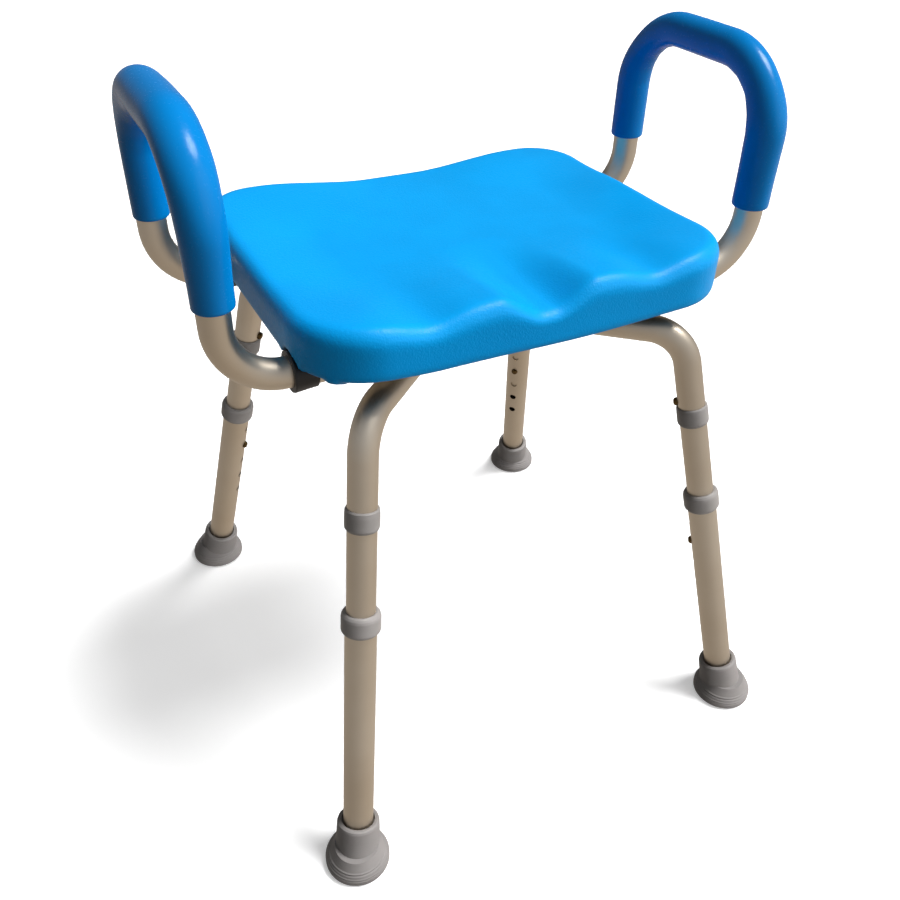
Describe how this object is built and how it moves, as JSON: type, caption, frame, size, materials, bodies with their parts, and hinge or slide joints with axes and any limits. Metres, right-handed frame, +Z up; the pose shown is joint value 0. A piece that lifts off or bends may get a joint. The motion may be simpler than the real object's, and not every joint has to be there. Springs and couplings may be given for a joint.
{
  "type": "shower chair",
  "caption": "Height-adjustable shower chair: contoured padded seat, splayed telescopic legs on crossing arches, rubber feet and pull-out looped armrests.",
  "frame": {"origin": "on the floor under the middle of the chair, halfway between the outermost points of the feet and of the arms", "axes": "+Z up; the front of the seat faces -Y; +X towards the armrest that is on the right when the chair is seen from its front"},
  "size_m": [0.5338, 0.5278, 0.6535],
  "materials": {
    "blue_pu": "blue integral-skin polyurethane foam, fine satin grain",
    "grip_foam": "deeper blue moulded polyurethane foam, semi-gloss skin",
    "champagne_aluminium": "champagne satin anodised tube",
    "grey_plastic": "moulded grey plastic, satin",
    "grey_rubber": "moulded grey rubber, matt",
    "black_plastic": "moulded black plastic, satin",
    "natural_plastic": "dark moulded polypropylene, matt",
    "brass": "turned brass, polished by use",
    "spring_steel": "rolled spring steel strip",
    "zinc_steel": "bright zinc-plated steel"
  },
  "bodies": {
    "frame": {"seat_pad": "blue_pu", "seat_board": "natural_plastic", "board_inserts": "brass", "leg_arch_upper": "champagne_aluminium", "leg_arch_lower": "champagne_aluminium", "arm_receiver_front": "champagne_aluminium", "arm_receiver_rear": "champagne_aluminium", "arm_socket_collars": "black_plastic", "arch_saddles": "natural_plastic", "board_saddles": "natural_plastic", "screw_washers": "zinc_steel", "seat_screws": "zinc_steel", "crossing_spacer": "natural_plastic", "crossing_washers": "zinc_steel", "crossing_bolt": "zinc_steel", "crossing_nut": "zinc_steel", "leg_button_springs": "spring_steel", "upper_collar_fl": "grey_plastic", "middle_leg_tube_fl": "champagne_aluminium", "upper_collar_fr": "grey_plastic", "middle_leg_tube_fr": "champagne_aluminium", "upper_collar_bl": "grey_plastic", "middle_leg_tube_bl": "champagne_aluminium", "upper_collar_br": "grey_plastic", "middle_leg_tube_br": "champagne_aluminium"},
    "lower_leg_fl": {"lower_leg_tube_fl": "champagne_aluminium", "lower_collar_fl": "grey_plastic", "foot_fl": "grey_rubber", "foot_washer_fl": "zinc_steel"},
    "height_button_fl": {"height_button_fl": "brass"},
    "frame_button_fl": {"frame_button_fl": "brass"},
    "lower_leg_fr": {"lower_leg_tube_fr": "champagne_aluminium", "lower_collar_fr": "grey_plastic", "foot_fr": "grey_rubber", "foot_washer_fr": "zinc_steel"},
    "height_button_fr": {"height_button_fr": "brass"},
    "frame_button_fr": {"frame_button_fr": "brass"},
    "lower_leg_bl": {"lower_leg_tube_bl": "champagne_aluminium", "lower_collar_bl": "grey_plastic", "foot_bl": "grey_rubber", "foot_washer_bl": "zinc_steel"},
    "height_button_bl": {"height_button_bl": "brass"},
    "frame_button_bl": {"frame_button_bl": "brass"},
    "lower_leg_br": {"lower_leg_tube_br": "champagne_aluminium", "lower_collar_br": "grey_plastic", "foot_br": "grey_rubber", "foot_washer_br": "zinc_steel"},
    "height_button_br": {"height_button_br": "brass"},
    "frame_button_br": {"frame_button_br": "brass"},
    "arm_left": {"arm_tube_left": "champagne_aluminium", "arm_grip_left": "grip_foam", "arm_button_springs_left": "spring_steel"},
    "arm_button_left_front": {"arm_button_left_front": "brass"},
    "arm_button_left_rear": {"arm_button_left_rear": "brass"},
    "arm_right": {"arm_tube_right": "champagne_aluminium", "arm_grip_right": "grip_foam", "arm_button_springs_right": "spring_steel"},
    "arm_button_right_front": {"arm_button_right_front": "brass"},
    "arm_button_right_rear": {"arm_button_right_rear": "brass"}
  },
  "joints": [
    {"name": "leg_height_front_left", "type": "slide", "parent": "frame", "child": "lower_leg_fl", "axis": [0.1472, 0.2223, 0.9638], "range_m": [-0.0254, 0.0762], "deforming": ["height_button_fl"]},
    {"name": "height_button_front_left", "type": "slide", "parent": "frame", "child": "height_button_fl", "axis": [-0.7438, -0.6174, 0.256], "range_m": [0, 0.0044], "stiffness_N_per_m": 2500, "springref_m": -0.002, "deforming": ["leg_button_springs"]},
    {"name": "frame_button_front_left", "type": "slide", "parent": "frame", "child": "frame_button_fl", "axis": [-0.7438, -0.6174, 0.256], "range_m": [0, 0.0051], "stiffness_N_per_m": 2500, "springref_m": -0.002, "deforming": ["leg_button_springs"]},
    {"name": "leg_height_front_right", "type": "slide", "parent": "frame", "child": "lower_leg_fr", "axis": [-0.1472, 0.2223, 0.9638], "range_m": [-0.0254, 0.0762], "deforming": ["height_button_fr"]},
    {"name": "height_button_front_right", "type": "slide", "parent": "frame", "child": "height_button_fr", "axis": [0.7438, -0.6174, 0.256], "range_m": [0, 0.0044], "stiffness_N_per_m": 2500, "springref_m": -0.002, "deforming": ["leg_button_springs"]},
    {"name": "frame_button_front_right", "type": "slide", "parent": "frame", "child": "frame_button_fr", "axis": [0.7438, -0.6174, 0.256], "range_m": [0, 0.0051], "stiffness_N_per_m": 2500, "springref_m": -0.002, "deforming": ["leg_button_springs"]},
    {"name": "leg_height_rear_left", "type": "slide", "parent": "frame", "child": "lower_leg_bl", "axis": [0.1472, -0.2223, 0.9638], "range_m": [-0.0254, 0.0762], "deforming": ["height_button_bl"]},
    {"name": "height_button_rear_left", "type": "slide", "parent": "frame", "child": "height_button_bl", "axis": [-0.7438, 0.6174, 0.256], "range_m": [0, 0.0044], "stiffness_N_per_m": 2500, "springref_m": -0.002, "deforming": ["leg_button_springs"]},
    {"name": "frame_button_rear_left", "type": "slide", "parent": "frame", "child": "frame_button_bl", "axis": [-0.7438, 0.6174, 0.256], "range_m": [0, 0.0051], "stiffness_N_per_m": 2500, "springref_m": -0.002, "deforming": ["leg_button_springs"]},
    {"name": "leg_height_rear_right", "type": "slide", "parent": "frame", "child": "lower_leg_br", "axis": [-0.1472, -0.2223, 0.9638], "range_m": [-0.0254, 0.0762], "deforming": ["height_button_br"]},
    {"name": "height_button_rear_right", "type": "slide", "parent": "frame", "child": "height_button_br", "axis": [0.7438, 0.6174, 0.256], "range_m": [0, 0.0044], "stiffness_N_per_m": 2500, "springref_m": -0.002, "deforming": ["leg_button_springs"]},
    {"name": "frame_button_rear_right", "type": "slide", "parent": "frame", "child": "frame_button_br", "axis": [0.7438, 0.6174, 0.256], "range_m": [0, 0.0051], "stiffness_N_per_m": 2500, "springref_m": -0.002, "deforming": ["leg_button_springs"]},
    {"name": "arm_release_left", "type": "slide", "parent": "frame", "child": "arm_left", "axis": [-1, 0, 0], "range_m": [0, 0.09], "deforming": ["arm_button_left_front", "arm_button_left_rear"]},
    {"name": "arm_button_left_front", "type": "slide", "parent": "arm_left", "child": "arm_button_left_front", "axis": [0, 0, 1], "range_m": [0, 0.0044], "stiffness_N_per_m": 2500, "springref_m": -0.002, "deforming": ["arm_button_springs_left"]},
    {"name": "arm_button_left_rear", "type": "slide", "parent": "arm_left", "child": "arm_button_left_rear", "axis": [0, 0, 1], "range_m": [0, 0.0044], "stiffness_N_per_m": 2500, "springref_m": -0.002, "deforming": ["arm_button_springs_left"]},
    {"name": "arm_release_right", "type": "slide", "parent": "frame", "child": "arm_right", "axis": [1, 0, 0], "range_m": [0, 0.09], "deforming": ["arm_button_right_front", "arm_button_right_rear"]},
    {"name": "arm_button_right_front", "type": "slide", "parent": "arm_right", "child": "arm_button_right_front", "axis": [0, 0, 1], "range_m": [0, 0.0044], "stiffness_N_per_m": 2500, "springref_m": -0.002, "deforming": ["arm_button_springs_right"]},
    {"name": "arm_button_right_rear", "type": "slide", "parent": "arm_right", "child": "arm_button_right_rear", "axis": [0, 0, 1], "range_m": [0, 0.0044], "stiffness_N_per_m": 2500, "springref_m": -0.002, "deforming": ["arm_button_springs_right"]}
  ]
}
